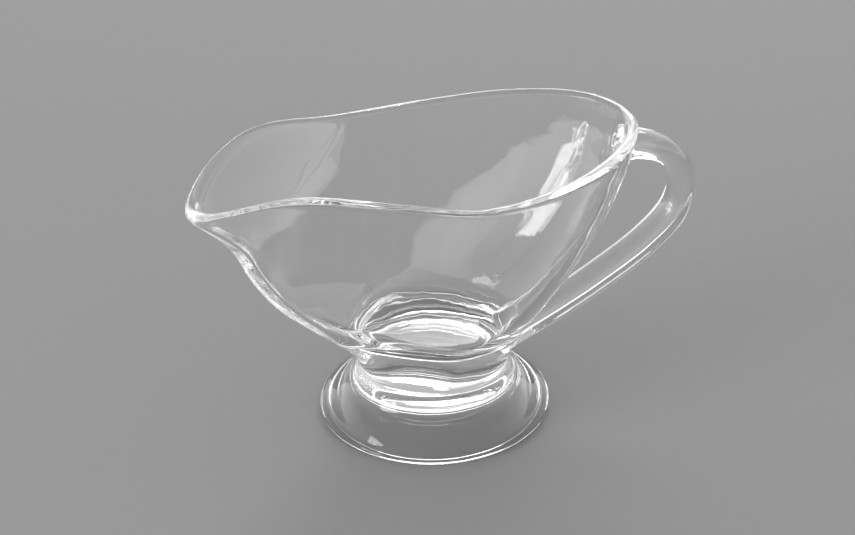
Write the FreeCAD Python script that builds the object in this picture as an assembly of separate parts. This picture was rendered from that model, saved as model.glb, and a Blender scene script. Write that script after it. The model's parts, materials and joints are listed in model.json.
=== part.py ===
# Footed gravy boat of clear pressed glass, made in one piece. Millimetres.
# +X runs from the pouring spout to the loop handle, +Y goes across the bowl, +Z is up.
# The bowl's stem stands on the Z axis here; the last step moves the whole piece so that
# its origin is under the middle of its length, on the surface that it stands on.
import FreeCAD, Part

import math
import os

V = FreeCAD.Vector

# ---- driving dimensions -------------------------------------------------------------------
FOOT_RADIUS = 35.0
FOOT_EDGE = 2.0            # height of the foot's rounded outer edge
STAND_RING = 1.8           # width of the flat ring that the foot stands on
SKIRT_TOP = (26.6, 9.4)    # radius and height where the straight skirt starts to curve up
FLARE = (24.2, 13.1)       # radius and height half way up the hollow curve of the stem
WAIST_RADIUS = 23.0
WAIST_HEIGHT = 18.0
HOLLOW_SHOULDER = (25.5, 6.0)   # the hollow under the foot: radius and height where its cone
HOLLOW_EAVES = (20.6, 8.95)     # starts to round over, half way round, and where the round
HOLLOW_CROWN = (15.8, 10.4)     # meets the shallow crown
HOLLOW_HEIGHT = 11.4

WALL = 3.6                 # glass of the bowl, measured square to its face
KEEL_WALL = 5.0            # the keel under the spout is thicker
FLOOR_HEIGHT = 25.5        # inside floor of the bowl
FLOOR_ROUND = 10.0         # rounding where the floor turns up into the walls
LIP_ROUND = 1.2            # rounding of the lip, inside and outside
CLEAR = 150.0              # reach of the cut above the lip, well past the bowl
STEM_OVERLAP = 2.0         # the foot's stem runs this far up inside the bowl
LONG_EDGE = 20.0           # edges of the lip are longer than this
HAIR = 0.05                # slack when edges are picked by height, and the mesh step

HANDLE_WIDTH = 10.4        # across, along Y
HANDLE_THICKNESS = 7.8
HANDLE_CORNER = 3.0
ROOT_ROUND = 2.0           # where the handle leaves the bowl under the lip

# Levels of the bowl's outer face, from inside the stem to above the lip:
# height, spout end x, handle end x, half width, bluntness of the spout end,
# the spout's shoulder as a share of the length and of the half width, and how far the
# sides run straight forward from the widest place, as a share of the length.
LEVELS = [
    (13.0, -22.0, 22.0, 22.0, 0.41, 0.22, 0.78, 0.41),
    (18.0, -23.0, 23.0, 23.0, 0.41, 0.22, 0.78, 0.41),
    (23.0, -25.2, 24.8, 23.8, 0.33, 0.25, 0.70, 0.35),
    (31.0, -34.8, 31.0, 26.0, 0.15, 0.29, 0.55, 0.25),
    (41.0, -46.0, 40.0, 29.2, 0.10, 0.31, 0.44, 0.20),
    (53.0, -54.3, 48.8, 32.2, 0.13, 0.36, 0.38, 0.20),
    (65.0, -60.0, 55.4, 34.4, 0.25, 0.44, 0.34, 0.22),
    (77.0, -71.0, 60.4, 36.0, 0.46, 0.53, 0.38, 0.25),
    (86.0, -79.6, 63.2, 37.0, 0.65, 0.56, 0.47, 0.23),
    (96.0, -89.2, 65.6, 38.0, 0.84, 0.59, 0.58, 0.20),
]
BOWL_TOP = LEVELS[-1][0]
WIDEST_SHIFT = 10.6        # the widest place of the top level lies this far behind the stem
ROUND = 0.552              # pole distance that makes a quarter curve round
BLUNT_BACK = 0.50          # the same at the handle end, which is a little fuller than an ellipse

# The lip seen from the side: it dips at the spout's tip and in the middle of the bowl.
LIP_LINE = [(-78, 77.2), (-71, 79.8), (-58, 87.7), (-44, 91.6), (-20, 88.3),
            (8, 85.0), (35, 86.7), (57, 88.8), (70, 88.4)]

# The handle's centre line, from its root under the lip down into the solid stem.
HANDLE_LINE = [(57.0, 79.6), (66.0, 78.3), (74.2, 74.0), (78.6, 65.0), (76.4, 54.8),
               (67.0, 44.9), (52.5, 35.3), (38.0, 27.3), (24.0, 21.0), (12.0, 17.0)]


# ---- curves in the X-Z plane ----------------------------------------------------------------
def arc(start, middle, end):
    points = [V(r, 0, z) for r, z in (start, middle, end)]
    return Part.Arc(*points).toShape()


def line(start, end):
    return Part.makeLine(V(start[0], 0, start[1]), V(end[0], 0, end[1]))


# ---- bowl ---------------------------------------------------------------------------------
def rise(height):
    """How far up the bowl a height is: 0 at the waist and 1 at the top level."""
    return (height - WAIST_HEIGHT) / (BOWL_TOP - WAIST_HEIGHT)


def level_wire(level):
    """One level outline: two curves from the spout to the widest place and two behind it."""
    height, spout, handle, half, blunt, shoulder_x, shoulder_y, flank = level
    widest = WIDEST_SHIFT * rise(height)
    fore = widest - spout
    aft = handle - widest
    back_end = ROUND if height <= WAIST_HEIGHT else BLUNT_BACK
    front = [
        (spout, 0),
        (spout, blunt * half),
        (spout + shoulder_x * fore, shoulder_y * half),
        (widest - flank * fore, half),
        (widest, half),
    ]
    back = [
        (widest, half),
        (widest + ROUND * aft, half),
        (handle, back_end * half),
        (handle, 0),
    ]
    edges = []
    for side, outline in ((-1, front), (-1, back), (1, back[::-1]), (1, front[::-1])):
        curve = Part.BezierCurve()
        curve.setPoles([V(x, side * y, height) for x, y in outline])
        edges.append(curve.toShape())
    return Part.Wire(edges)


def slope_factor(column, index):
    """Level thickness of a wall for a square thickness of 1, from the wall's lean there."""
    low = LEVELS[max(index - 1, 0)]
    high = LEVELS[min(index + 1, len(LEVELS) - 1)]
    lean = (high[column] - low[column]) / (high[0] - low[0])
    return math.sqrt(1 + lean * lean)


def inner_levels():
    """The outer levels moved in by the wall, from the floor up."""
    moved = []
    for index, level in enumerate(LEVELS):
        height, spout, handle, half, blunt, shoulder_x, shoulder_y, flank = level
        keel = KEEL_WALL + (WALL - KEEL_WALL) * rise(height)
        spout += keel * slope_factor(1, index)
        handle -= WALL * slope_factor(2, index)
        half -= WALL * slope_factor(3, index)
        moved.append((height, spout, handle, half, blunt, shoulder_x, shoulder_y, flank))
    kept = [level for level in moved if level[0] > FLOOR_HEIGHT]
    below = moved[-len(kept) - 1]
    above = kept[0]
    share = (FLOOR_HEIGHT - below[0]) / (above[0] - below[0])
    floor = tuple(a + share * (b - a) for a, b in zip(below, above))
    return [floor] + kept


def bowl_outside():
    return Part.makeLoft([level_wire(level) for level in LEVELS], True, False)


def bowl_inside():
    space = Part.makeLoft([level_wire(level) for level in inner_levels()], True, False)
    floor_edges = [edge for edge in space.Edges if edge.BoundBox.ZMax < FLOOR_HEIGHT + HAIR]
    return space.makeFillet(FLOOR_ROUND, floor_edges)


def space_above_lip():
    """Everything above the wavy lip line."""
    crest = Part.BSplineCurve()
    crest.interpolate([V(x, 0, z) for x, z in LIP_LINE])
    start, end = LIP_LINE[0], LIP_LINE[-1]
    corners = [end, (CLEAR, end[1]), (CLEAR, CLEAR), (-CLEAR, CLEAR), (-CLEAR, start[1]), start]
    outline = [crest.toShape()] + [line(a, b) for a, b in zip(corners, corners[1:])]
    sheet = Part.Face(Part.Wire(outline))
    sheet.translate(V(0, -CLEAR, 0))
    return sheet.extrude(V(0, 2 * CLEAR, 0))


# ---- stem, foot and handle ----------------------------------------------------------------
def turned(edges):
    return Part.Face(Part.Wire(edges)).revolve(V(0, 0, 0), V(0, 0, 1), 360)


def foot_outside():
    edge = (FOOT_RADIUS, FOOT_EDGE)
    base = (FOOT_RADIUS - FOOT_EDGE, 0)
    corner = FOOT_EDGE * (1 - math.sqrt(0.5))
    waist = (WAIST_RADIUS, WAIST_HEIGHT)
    inside_bowl = WAIST_HEIGHT + STEM_OVERLAP
    return turned([
        line((0, 0), base),
        arc(base, (FOOT_RADIUS - corner, corner), edge),
        line(edge, SKIRT_TOP),
        arc(SKIRT_TOP, FLARE, waist),
        line(waist, (WAIST_RADIUS, inside_bowl)),
        line((WAIST_RADIUS, inside_bowl), (0, inside_bowl)),
        line((0, inside_bowl), (0, 0)),
    ])


def foot_hollow():
    """The cone under the foot, rounded over into a shallow crown that is part of a ball."""
    mouth = FOOT_RADIUS - STAND_RING - FOOT_EDGE
    crown_rise = HOLLOW_HEIGHT - HOLLOW_CROWN[1]
    ball = (HOLLOW_CROWN[0] ** 2 + crown_rise ** 2) / (2 * crown_rise)
    half_way = HOLLOW_CROWN[0] / 2
    half_height = HOLLOW_HEIGHT - ball + math.sqrt(ball ** 2 - half_way ** 2)
    return turned([
        line((0, 0), (mouth, 0)),
        line((mouth, 0), HOLLOW_SHOULDER),
        arc(HOLLOW_SHOULDER, HOLLOW_EAVES, HOLLOW_CROWN),
        arc(HOLLOW_CROWN, (half_way, half_height), (0, HOLLOW_HEIGHT)),
        line((0, HOLLOW_HEIGHT), (0, 0)),
    ])


def handle():
    """A rounded bar swept along the handle's centre line."""
    spine = Part.BSplineCurve()
    spine.interpolate([V(x, 0, z) for x, z in HANDLE_LINE])
    start = spine.value(spine.FirstParameter)
    along = spine.tangent(spine.FirstParameter)[0]
    across = V(0, 1, 0)
    outward = along.cross(across)
    wide = HANDLE_WIDTH / 2 - HANDLE_CORNER
    thick = HANDLE_THICKNESS / 2 - HANDLE_CORNER
    diagonal = HANDLE_CORNER * math.sqrt(0.5)

    def point(y, n):
        return start + across * y + outward * n

    edges = []
    turns = [(1, 1), (-1, 1), (-1, -1), (1, -1)]
    for index, (y, n) in enumerate(turns):
        side_first = index % 2 == 0
        flank = point(y * (wide + HANDLE_CORNER), n * thick)
        crest = point(y * wide, n * (thick + HANDLE_CORNER))
        middle = point(y * (wide + diagonal), n * (thick + diagonal))
        begin, end = (flank, crest) if side_first else (crest, flank)
        edges.append(Part.Arc(begin, middle, end).toShape())
        next_y, next_n = turns[(index + 1) % 4]
        if side_first:
            corner = point(next_y * wide, next_n * (thick + HANDLE_CORNER))
        else:
            corner = point(next_y * (wide + HANDLE_CORNER), next_n * thick)
        edges.append(Part.makeLine(end, corner))
    section = Part.Wire(edges)
    return Part.Wire([spine.toShape()]).makePipeShell([section], True, False)


# ---- the whole piece ----------------------------------------------------------------------
def lip_edges(body):
    """The long edges along the lip, inside and outside."""
    spout_tip = LIP_LINE[0][1]
    return [edge for edge in body.Edges
            if edge.BoundBox.ZMin > spout_tip
            and edge.Length > LONG_EDGE]


def root_edges(body):
    """The short edges round the handle where it leaves the bowl, under the lip."""
    x, z = HANDLE_LINE[0]
    reach = HANDLE_THICKNESS / 2 + ROOT_ROUND
    return [edge for edge in body.Edges
            if edge.BoundBox.XMin > x
            and edge.BoundBox.ZMin > z - reach
            and edge.BoundBox.ZMax < z + reach
            and edge.Length < HANDLE_WIDTH / 2]


def middle_of_length(body):
    corners = body.tessellate(HAIR)[0]
    return (min(c.x for c in corners) + max(c.x for c in corners)) / 2


def gravy_boat():
    body = bowl_outside().fuse(foot_outside()).fuse(handle())
    body = body.cut(bowl_inside()).cut(foot_hollow()).cut(space_above_lip())
    body = body.makeFillet(LIP_ROUND, lip_edges(body))
    body = body.makeFillet(ROOT_ROUND, root_edges(body)).Solids[0]
    body.translate(V(-middle_of_length(body), 0, 0))
    return body


os.makedirs("parts", exist_ok=True)
gravy_boat().exportStep("parts/gravy_boat.step")
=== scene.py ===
import json
import math

import bmesh
import bpy
from mathutils import Matrix, Vector
from mathutils.bvhtree import BVHTree


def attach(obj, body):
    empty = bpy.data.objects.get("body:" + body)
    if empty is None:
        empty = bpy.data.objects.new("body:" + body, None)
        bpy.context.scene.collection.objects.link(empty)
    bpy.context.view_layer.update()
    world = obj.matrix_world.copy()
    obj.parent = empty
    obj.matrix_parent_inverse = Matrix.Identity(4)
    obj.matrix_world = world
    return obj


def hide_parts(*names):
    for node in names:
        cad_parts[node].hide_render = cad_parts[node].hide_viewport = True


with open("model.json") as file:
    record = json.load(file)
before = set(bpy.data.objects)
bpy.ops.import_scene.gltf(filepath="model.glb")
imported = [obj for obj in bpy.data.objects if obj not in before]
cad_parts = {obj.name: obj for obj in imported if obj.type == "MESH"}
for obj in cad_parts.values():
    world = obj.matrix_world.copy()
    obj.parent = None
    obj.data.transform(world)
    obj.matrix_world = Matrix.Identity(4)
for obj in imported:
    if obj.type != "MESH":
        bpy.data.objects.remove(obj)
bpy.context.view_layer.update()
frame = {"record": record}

STEM_X = frame["record"]["mounts"][0]["pos_m"][0]     # the middle of the round foot

# ---- The bowl and the foot --------------------------------------------------------------------
# Clear soda-lime glass, pressed in one piece and fire-polished until its lip is a round bead.
# A sharp keel runs up under the spout, the handle end is round, and the stem widens into a
# hollow bell foot. Sizes are in millimetres, counted from the stem's axis on the table.
WAIST_HEIGHT = 18.0
WALL = 3.6
KEEL_WALL = 5.0
FLOOR_HEIGHT = 25.5
WIDEST_SHIFT = 10.6        # the widest place of the top level lies this far behind the stem
ROUND = 0.552              # pole distance that makes a quarter curve round
BLUNT_BACK = 0.50          # the same at the handle end, which is a little fuller
BLUNT_GAIN = 10            # it reaches that a tenth of the way up
LEAN_REACH = 2.0           # the wall's lean is taken over this much height up and down

# Outer face: height, spout end x, handle end x, half width, bluntness of the spout end, and the
# spout's shoulder and the straight run of the sides as shares of the length and half width.
LEVELS = [
    (13.0, -22.0, 22.0, 22.0, 0.41, 0.22, 0.78, 0.41),
    (18.0, -23.0, 23.0, 23.0, 0.41, 0.22, 0.78, 0.41),
    (23.0, -25.2, 24.8, 23.8, 0.33, 0.25, 0.70, 0.35),
    (31.0, -34.8, 31.0, 26.0, 0.15, 0.29, 0.55, 0.25),
    (41.0, -46.0, 40.0, 29.2, 0.10, 0.31, 0.44, 0.20),
    (53.0, -54.3, 48.8, 32.2, 0.13, 0.36, 0.38, 0.20),
    (65.0, -60.0, 55.4, 34.4, 0.25, 0.44, 0.34, 0.22),
    (77.0, -71.0, 60.4, 36.0, 0.46, 0.53, 0.38, 0.25),
    (86.0, -79.6, 63.2, 37.0, 0.65, 0.56, 0.47, 0.23),
    (96.0, -89.2, 65.6, 38.0, 0.84, 0.59, 0.58, 0.20),
]
BOWL_TOP = LEVELS[-1][0]

# The lip's crest from the side: x and height.
LIP_LINE = [(-78, 77.2), (-71, 79.8), (-58, 87.7), (-44, 91.6), (-20, 88.3),
            (8, 85.0), (35, 86.7), (57, 88.8), (70, 88.4)]

# Radius and height of the stem and the foot, from under the waist, round the standing ring
# and up into the hollow.
FOOT_PROFILE = [
    (23.3, 15.6), (24.2, 13.1), (25.25, 11.1), (26.6, 9.4), (28.7, 7.2), (31.2, 4.7),
    (33.2, 3.4), (34.4, 2.45), (35.0, 1.6), (34.75, 0.7), (34.0, 0.15), (33.0, 0.0), (31.8, 0.0),
    (31.1, 0.2), (30.2, 1.1), (28.0, 3.4), (25.5, 6.0), (22.6, 7.9), (19.4, 9.4),
    (15.8, 10.4), (11.6, 11.0), (7.4, 11.3), (3.6, 11.4), (1.2, 11.4),
]

# The mesh: columns from the spout to the widest place and shares of the curve behind it, then
# rows up the outer wall, over the lip and down the inner wall.
FRONT_COLUMNS = 18
BACK_SHARES = (0.0, 0.12, 0.24, 0.36, 0.47, 0.57, 0.67, 0.76, 0.86, 0.93)
OUTER_ROWS = (0.0, 0.04, 0.08, 0.12, 0.16, 0.22, 0.30, 0.38, 0.46, 0.54, 0.62, 0.70, 0.77,
              0.831, 0.863, 0.895, 0.927, 0.959, 1.0)
INNER_ROWS = (1.0, 0.95, 0.88, 0.80, 0.71, 0.62, 0.53, 0.44, 0.35, 0.26, 0.18, 0.10, 0.04)
LIP_ANGLES = (30, 60, 90, 120, 150)
LIP_TRIES = 8              # rounds in which the lip's height settles

# Where the inner wall starts to turn into the floor, the height whose outline the floor takes,
# and the floor's rings: a share of that outline and a height above the floor.
INNER_WALL_START = FLOOR_HEIGHT + 8
FLOOR_OUTLINE = FLOOR_HEIGHT + 7
FLOOR_RINGS = ((0.95, 5.5), (0.86, 3.6), (0.74, 2.2), (0.58, 1.1),
               (0.40, 0.4), (0.20, 0.1), (0.05, 0.0))


def smooth(table, column, at):
    """One column of a table at any place between its rows, on a smooth curve through them."""
    def slope(row):
        low = table[max(row - 1, 0)]
        high = table[min(row + 1, len(table) - 1)]
        return (high[column] - low[column]) / (high[0] - low[0])
    row = 0
    while row < len(table) - 2 and table[row + 1][0] < at:
        row += 1
    start, end = table[row], table[row + 1]
    step = end[0] - start[0]
    t = (at - start[0]) / step
    rest = 1 - t
    return (start[column] * (1 + 2 * t) * rest * rest + slope(row) * step * t * rest * rest
            + end[column] * (1 + 2 * rest) * t * t - slope(row + 1) * step * rest * t * t)


def lean(column, height):
    """Level thickness of a wall whose thickness square to its face is 1."""
    low, high = (smooth(LEVELS, column, height + reach) for reach in (-LEAN_REACH, LEAN_REACH))
    return math.hypot(1, (high - low) / (2 * LEAN_REACH))


def pulled(poles, share):
    """The point that a chain of poles gives when it is halved again and again at this share."""
    points = [Vector(pole) for pole in poles]
    while len(points) > 1:
        points = [a.lerp(b, share) for a, b in zip(points, points[1:])]
    return points[0]


def wall_place(station, height, inside=False):
    """A point of the bowl's outer or inner face at one height.

    A station is a side, whether it lies in front of the widest place, and a share of the curve.
    """
    side, in_front, share = station
    spout, handle, half, blunt, shoulder_x, shoulder_y, flank = (
        smooth(LEVELS, column, height) for column in range(1, 8))
    up = (height - WAIST_HEIGHT) / (BOWL_TOP - WAIST_HEIGHT)
    if inside:
        spout += (KEEL_WALL + (WALL - KEEL_WALL) * up) * lean(1, height)
        handle -= WALL * lean(2, height)
        half -= WALL * lean(3, height)
    widest = WIDEST_SHIFT * up
    fore = widest - spout
    aft = handle - widest
    if in_front:
        poles = [(spout, 0), (spout, blunt * half),
                 (spout + shoulder_x * fore, shoulder_y * half),
                 (widest - flank * fore, half), (widest, half)]
    else:
        blunt_end = ROUND + (BLUNT_BACK - ROUND) * min(up * BLUNT_GAIN, 1)
        poles = [(widest, half), (widest + ROUND * aft, half),
                 (handle, blunt_end * half), (handle, 0)]
    x, y = pulled(poles, share)
    return Vector((x, side * y, height))


def lip_arc(station):
    """The middle of the lip's bead at this station and its half width, outwards."""
    height = LIP_LINE[0][1]
    for _ in range(LIP_TRIES):
        outer = wall_place(station, height)
        inner = wall_place(station, height, inside=True)
        middle = (outer + inner) / 2
        bead = (outer - inner) / 2
        height = smooth(LIP_LINE, 1, middle.x) - bead.length
    return middle, bead


def one_side(side):
    """The stations from the spout's tip back along one side."""
    front = [(side, True, column / FRONT_COLUMNS) for column in range(FRONT_COLUMNS)]
    return front + [(side, False, share) for share in BACK_SHARES]


HANDLE_END = (1, False, 1.0)
STATIONS = one_side(-1) + [HANDLE_END] + one_side(1)[:0:-1]
HANDLE_COLUMN = STATIONS.index(HANDLE_END)
LIPS = [lip_arc(station) for station in STATIONS]

glass = bmesh.new()


def ring(places):
    """A closed loop with one vertex at each place."""
    circle = bmesh.ops.create_circle(glass, segments=len(places), radius=1)["verts"]
    loop = sorted(circle, key=lambda vertex: math.atan2(vertex.co.y, vertex.co.x))
    for vertex, place in zip(loop, places):
        vertex.co = place
    return loop


def loop_edges(loop):
    """The edges of a closed loop of vertices."""
    return [glass.edges.get(pair) for pair in zip(loop, loop[1:] + loop[:1])]


def joined(loops):
    """Bands of faces from each loop to the next."""
    for loop, after in zip(loops, loops[1:]):
        bmesh.ops.bridge_loops(glass, edges=loop_edges(loop) + loop_edges(after))


def closed_by_pole(loop):
    """Pulls a loop together into one vertex."""
    middle = sum((vertex.co for vertex in loop), Vector()) / len(loop)
    bmesh.ops.pointmerge(glass, verts=loop, merge_co=middle)


def outer_row(share):
    return [wall_place(station, WAIST_HEIGHT + share * (middle.z - WAIST_HEIGHT))
            for station, (middle, bead) in zip(STATIONS, LIPS)]


def inner_row(share):
    return [wall_place(station, INNER_WALL_START + share * (middle.z - INNER_WALL_START), True)
            for station, (middle, bead) in zip(STATIONS, LIPS)]


def lip_row(angle):
    turn = math.radians(angle)
    return [middle + bead * math.cos(turn) + Vector((0, 0, bead.length * math.sin(turn)))
            for middle, bead in LIPS]


def floor_row(scale, above):
    edge = [wall_place(station, FLOOR_OUTLINE, inside=True) for station in STATIONS]
    return [Vector((place.x * scale, place.y * scale, FLOOR_HEIGHT + above)) for place in edge]


def foot_row(radius, height):
    waist = [wall_place(station, WAIST_HEIGHT).to_2d().normalized() for station in STATIONS]
    return [(way * radius).to_3d() + Vector((0, 0, height)) for way in waist]


outer = [ring(outer_row(share)) for share in OUTER_ROWS]
lip = [ring(lip_row(angle)) for angle in LIP_ANGLES]
inner = [ring(inner_row(share)) for share in INNER_ROWS]
floor = [ring(floor_row(*step)) for step in FLOOR_RINGS]
foot = [ring(foot_row(*step)) for step in FOOT_PROFILE]
joined(foot[::-1] + outer + lip + inner + floor)

# ---- The handle -------------------------------------------------------------------------------
# A rounded bar of the same glass, drawn out from under the lip, bent round and laid back on the
# stem while hot, so both of its roots flow into the wall. It grows out of two openings that
# are left in the wall's mesh.
HANDLE_WIDTH = 10.4
HANDLE_THICKNESS = 7.8
HANDLE_SQUARENESS = 2.7    # 2 would be an ellipse
ROOT_FLARE = 0.20          # how much wider the bar is at its roots
ROOT_LENGTH = 2.2          # how fast that fades along the bar
HANDLE_LINE = [(57.0, 79.6), (66.0, 78.3), (74.2, 74.0), (78.6, 65.0), (76.4, 54.8),
               (67.0, 44.9), (52.5, 35.3), (38.0, 27.3), (24.0, 21.0), (12.0, 17.0)]
HANDLE_SIDES = 16
HANDLE_RINGS = 24
ROOT_RINGS = [0.010, 0.024]     # extra rings beside each root, as shares of the length
AHEAD = 0.5                # the bar's direction is taken over this length
ROOT_COLUMNS = 2           # on each side of the middle
UPPER_ROOT = (13, 17)      # rows of the outer wall that the root takes the place of
LOWER_ROOT = (0, 4)
RAIL_STEPS = 160           # steps in which a line of the skin feels for the wall
POLE_EDGES = 6             # a vertex with this many edges is a pole


def along_handle():
    """The centre line's points, each with its distance from the start."""
    rows = [(0.0, *HANDLE_LINE[0])]
    for before, after in zip(HANDLE_LINE, HANDLE_LINE[1:]):
        rows.append((rows[-1][0] + math.dist(before, after), *after))
    return rows


HANDLE_ROWS = along_handle()
HANDLE_LENGTH = HANDLE_ROWS[-1][0]


def rounded(value):
    """A sine or cosine made fuller, so that a circle turns into a rounded square."""
    return math.copysign(abs(value) ** (2 / HANDLE_SQUARENESS), value)


def handle_place(angle, distance, flare):
    """A point of the bar's skin: angle 0 is the side away from the finger gap."""
    x, z = (smooth(HANDLE_ROWS, column, distance) for column in (1, 2))
    ahead = [smooth(HANDLE_ROWS, column, distance + AHEAD) for column in (1, 2)]
    forward = (Vector(ahead) - Vector((x, z))).normalized()
    outward = Vector((-forward.y, 0, forward.x))
    out = HANDLE_THICKNESS / 2 * rounded(math.cos(angle)) * (1 + flare)
    across = HANDLE_WIDTH / 2 * rounded(math.sin(angle)) * (1 + flare)
    return Vector((x, across, z)) + outward * out


def meets_wall(wall, angle, start, end):
    """How far along the handle one line of its skin runs into the wall, and where."""
    steps = [start + (end - start) * step / RAIL_STEPS for step in range(RAIL_STEPS + 1)]
    for before, after in zip(steps, steps[1:]):
        here = handle_place(angle, before, ROOT_FLARE)
        there = handle_place(angle, after, ROOT_FLARE)
        reach = (there - here).length
        hit = wall.ray_cast(here, there - here, reach)[0]
        if hit:
            return before + (after - before) * (hit - here).length / reach, hit
    raise ValueError("a line of the handle doesn't reach the bowl")


def around(point, middle):
    """The angle at which a point lies round the middle, seen along X."""
    return math.atan2(round(point.y, 4) + 0.0, point.z - middle.z)


def opened(rows, meetings):
    """Takes out the wall's faces behind a root, and draws the edge left to the root's outline."""
    low, high = rows
    columns = range(HANDLE_COLUMN - ROOT_COLUMNS, HANDLE_COLUMN + ROOT_COLUMNS)
    patch = [glass.faces.get((outer[row][column], outer[row][column + 1],
                              outer[row + 1][column + 1], outer[row + 1][column]))
             for row in range(low, high) for column in columns]
    first, last = columns[0], columns[-1] + 1
    rim = (outer[low][first:last] + [outer[row][last] for row in range(low, high)]
           + outer[high][last:first:-1] + [outer[row][first] for row in range(high, low, -1)])
    bmesh.ops.delete(glass, geom=patch, context="FACES")
    centre = sum((vertex.co for vertex in rim), Vector()) / len(rim)
    places = [place for distance, place in meetings]
    middle = sum(places, Vector()) / len(places)
    by_angle = sorted(rim, key=lambda vertex: around(vertex.co, centre))
    for vertex, place in zip(by_angle, sorted(places, key=lambda place: around(place, middle))):
        vertex.co = place
    return rim


wall = BVHTree.FromBMesh(glass)
ANGLES = [2 * math.pi * side / HANDLE_SIDES for side in range(HANDLE_SIDES)]
halfway = HANDLE_LENGTH / 2
upper = [meets_wall(wall, angle, halfway, 0) for angle in ANGLES]
lower = [meets_wall(wall, angle, halfway, HANDLE_LENGTH) for angle in ANGLES]


def handle_row(share):
    """One ring of the handle, which flares towards the nearer root."""
    places = []
    for angle, (start, _), (end, _) in zip(ANGLES, upper, lower):
        near = min(share, 1 - share) * (end - start)
        flare = ROOT_FLARE * math.exp(-near / ROOT_LENGTH)
        places.append(handle_place(angle, start + (end - start) * share, flare))
    return places


bar = [step / HANDLE_RINGS for step in range(1, HANDLE_RINGS)]
shares = ROOT_RINGS + bar + [1 - share for share in ROOT_RINGS[::-1]]
joined([opened(UPPER_ROOT, upper)] + [ring(handle_row(share)) for share in shares]
       + [opened(LOWER_ROOT, lower)])
closed_by_pole(foot[-1])
closed_by_pole(floor[-1])


def drawn_to(mesh):
    """Moves the vertices out so that the smoothed skin passes through where they stood.

    A smoothed vertex comes to rest at a mean in which its own place counts as often as the
    square of its edges, each neighbour 4 times and each far corner of its faces once. A pole
    already lies in a nearly flat place and stays.
    """
    moves = []
    for vertex in mesh.verts:
        count = len(vertex.link_edges)
        total = vertex.co * count * count
        for edge in vertex.link_edges:
            total += edge.other_vert(vertex).co * 4
        for face in vertex.link_faces:
            near = {other for edge in vertex.link_edges for other in edge.verts}
            far = [corner.co for corner in face.verts if corner not in near]
            total += sum(far, Vector()) / len(far) if far else vertex.co
        moves.append(vertex.co - total / (count * (count + 5)))
    for vertex, move in zip(mesh.verts, moves):
        if len(vertex.link_edges) < POLE_EDGES:
            vertex.co += move


drawn_to(glass)
bmesh.ops.recalc_face_normals(glass, faces=glass.faces)
bmesh.ops.scale(glass, vec=(0.001,) * 3, verts=glass.verts)
bmesh.ops.translate(glass, vec=(STEM_X, 0, 0), verts=glass.verts)

skin = bpy.data.meshes.new("gravy_boat_glass")
glass.to_mesh(skin)
glass.free()
skin.shade_smooth()
boat = bpy.data.objects.new("gravy_boat_glass", skin)
bpy.context.collection.objects.link(boat)
polish = boat.modifiers.new("fire polish", "SUBSURF")
polish.levels = 2
polish.render_levels = 2


# ---- Clear glass ------------------------------------------------------------------------------
# Colourless and clean. The pressing leaves slow waves in the skin that bend what is seen
# through it, and fire-polishing leaves the surface almost without roughness.
WAVE_SCALE = 70.0
RIPPLE_SCALE = 240.0
RIPPLE_SHARE = 0.15
WAVE_DEPTH = 0.0006
WAVE_STRENGTH = 0.25
HANDLING_SCALE = 35.0      # patches where hands have dulled it a trace
DULLEST = 0.02
PALEST_TINT = (0.985, 0.99, 0.99, 1)
NO_TINT = (1, 1, 1, 1)
GLASS_IOR = 1.5


class Shade:
    """A shader value that can be added to, multiplied and the like."""

    def __init__(self, tree, socket):
        self.tree = tree
        self.socket = socket

    def node(self, kind, settings, values, output=0):
        """Adds a node: its settings come first, then its sockets' values or links."""
        made = self.tree.nodes.new(kind)
        for name, value in settings.items():
            setattr(made, name, value)
        for name, value in values.items():
            if isinstance(value, Shade):
                self.tree.links.new(value.socket, made.inputs[name])
            else:
                made.inputs[name].default_value = value
        return Shade(self.tree, made.outputs[output])

    def maths(self, operation, first, second):
        return self.node("ShaderNodeMath", {"operation": operation}, {0: first, 1: second})

    def __add__(self, other):
        return self.maths("ADD", self, other)

    def __mul__(self, other):
        return self.maths("MULTIPLY", self, other)

    __radd__ = __add__
    __rmul__ = __mul__


def clear_glass():
    material = bpy.data.materials.new("clear_pressed_glass")
    material.use_nodes = True
    tree = material.node_tree
    surface = tree.nodes["Principled BSDF"]
    place = Shade(tree, tree.nodes.new("ShaderNodeTexCoord").outputs["Object"])

    def noise(scale, detail):
        return place.node("ShaderNodeTexNoise", {},
                          {"Vector": place, "Scale": scale, "Detail": detail})

    height = noise(WAVE_SCALE, 1.0) + noise(RIPPLE_SCALE, 1.0) * RIPPLE_SHARE
    normal = place.node("ShaderNodeBump", {}, {"Strength": WAVE_STRENGTH,
                                               "Distance": WAVE_DEPTH, "Height": height})
    tree.links.new(normal.socket, surface.inputs["Normal"])
    handled = noise(HANDLING_SCALE, 4.0)
    tree.links.new((handled * DULLEST).socket, surface.inputs["Roughness"])
    tint = place.node("ShaderNodeMix", {"data_type": "RGBA"},
                      {0: handled, 6: PALEST_TINT, 7: NO_TINT}, 2)
    tree.links.new(tint.socket, surface.inputs["Base Color"])
    surface.inputs["Transmission Weight"].default_value = 1.0
    surface.inputs["IOR"].default_value = GLASS_IOR
    return material


boat.data.materials.append(clear_glass())
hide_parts("gravy_boat")
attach(boat, "root")

# ---- The studio -------------------------------------------------------------------------------
# A plain pale floor, a soft box behind and one beside the spout, and a camera that looks down
# on the boat from the front, a little towards the spout. Sizes are in metres.
FLOOR_REACH = 3.0
FLOOR_GREY = (0.33, 0.33, 0.33, 1)
FLOOR_ROUGHNESS = 0.8
WALL_LIGHT = 1.7
CEILING_LIGHT = 0.5
CEILING_FROM = 0.7         # how far up the sky the walls' light has faded
LIGHT_AIM = (0, 0, 0.05)
BOUNCES = 48               # light runs a long way round inside the glass

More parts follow.
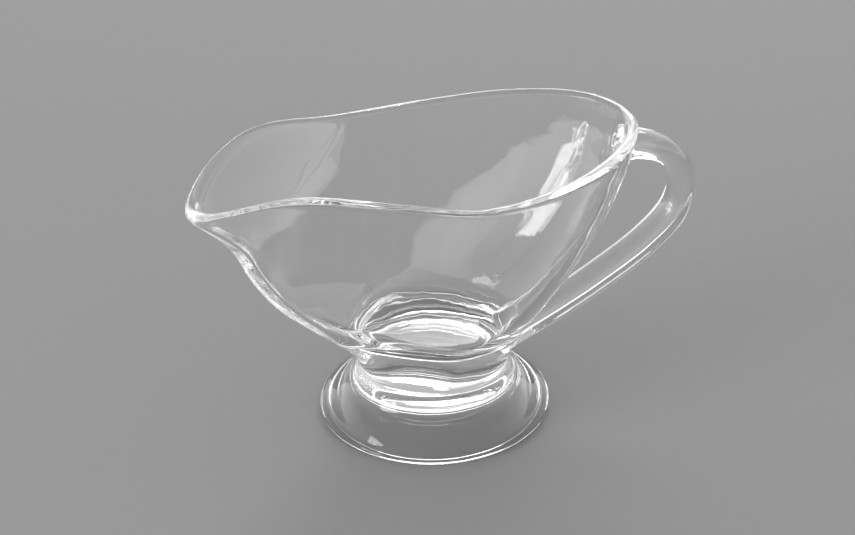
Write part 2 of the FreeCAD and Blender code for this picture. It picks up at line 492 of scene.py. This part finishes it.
floor_mesh = bmesh.new()
bmesh.ops.create_grid(floor_mesh, x_segments=1, y_segments=1, size=FLOOR_REACH)
ground = bpy.data.meshes.new("floor")
floor_mesh.to_mesh(ground)
floor_mesh.free()
table = bpy.data.objects.new("floor", ground)
bpy.context.collection.objects.link(table)
paint = bpy.data.materials.new("pale_floor")
paint.use_nodes = True
coat = paint.node_tree.nodes["Principled BSDF"]
coat.inputs["Base Color"].default_value = FLOOR_GREY
coat.inputs["Roughness"].default_value = FLOOR_ROUGHNESS
ground.materials.append(paint)

# The studio's white walls: brightest all round at the height of the table, dimmer overhead.
world = bpy.data.worlds.new("studio")
bpy.context.scene.world = world
world.use_nodes = True
tree = world.node_tree
way = Shade(tree, tree.nodes.new("ShaderNodeTexCoord").outputs["Generated"])
up = way.node("ShaderNodeSeparateXYZ", {}, {"Vector": way}, 2)
walls = up.node("ShaderNodeMapRange", {"interpolation_type": "SMOOTHSTEP"},
                {"Value": up, "From Min": 0.0, "From Max": CEILING_FROM,
                 "To Min": WALL_LIGHT, "To Max": CEILING_LIGHT})
tree.links.new(walls.socket, tree.nodes["Background"].inputs["Strength"])
tree.nodes["Background"].inputs["Color"].default_value = NO_TINT


def soft_box(name, place, size, power):
    lamp = bpy.data.lights.new(name, "AREA")
    lamp.shape = "RECTANGLE"
    lamp.size, lamp.size_y = size
    lamp.energy = power
    holder = bpy.data.objects.new(name, lamp)
    bpy.context.collection.objects.link(holder)
    holder.location = place
    towards = Vector(LIGHT_AIM) - Vector(place)
    holder.rotation_euler = towards.to_track_quat("-Z", "Y").to_euler()


soft_box("soft_box_back", place=(0.5, 1.1, 0.7), size=(0.7, 0.5), power=5)
soft_box("soft_box_side", place=(-1.0, -0.2, 0.3), size=(0.42, 0.4), power=3.5)

scene = bpy.context.scene
scene.view_settings.view_transform = "Standard"
scene.cycles.max_bounces = BOUNCES
scene.cycles.transmission_bounces = BOUNCES
scene.cycles.glossy_bounces = BOUNCES

CAMERA_BACK = 0.7019
CAMERA_ASIDE = -0.0010
CAMERA_HEIGHT = 0.4711
PITCH = math.radians(31.1)
ROLL = math.radians(-1.65)
TURNED = math.radians(15)
FOCAL_LENGTH = 116.1
SENSOR_WIDTH = 36
lens = bpy.data.cameras.new("camera")
lens.lens = FOCAL_LENGTH
lens.sensor_width = SENSOR_WIDTH
camera = bpy.data.objects.new("camera", lens)
bpy.context.collection.objects.link(camera)
turn = Matrix.Rotation(-TURNED, 3, "Z")
stand = turn @ Vector((CAMERA_ASIDE, -CAMERA_BACK, CAMERA_HEIGHT))
camera.location = stand + Vector((STEM_X, 0, 0))
tilt = Matrix.Rotation(math.pi / 2 - PITCH, 3, "X")
camera.rotation_euler = (turn @ tilt @ Matrix.Rotation(ROLL, 3, "Z")).to_euler()
scene.camera = camera
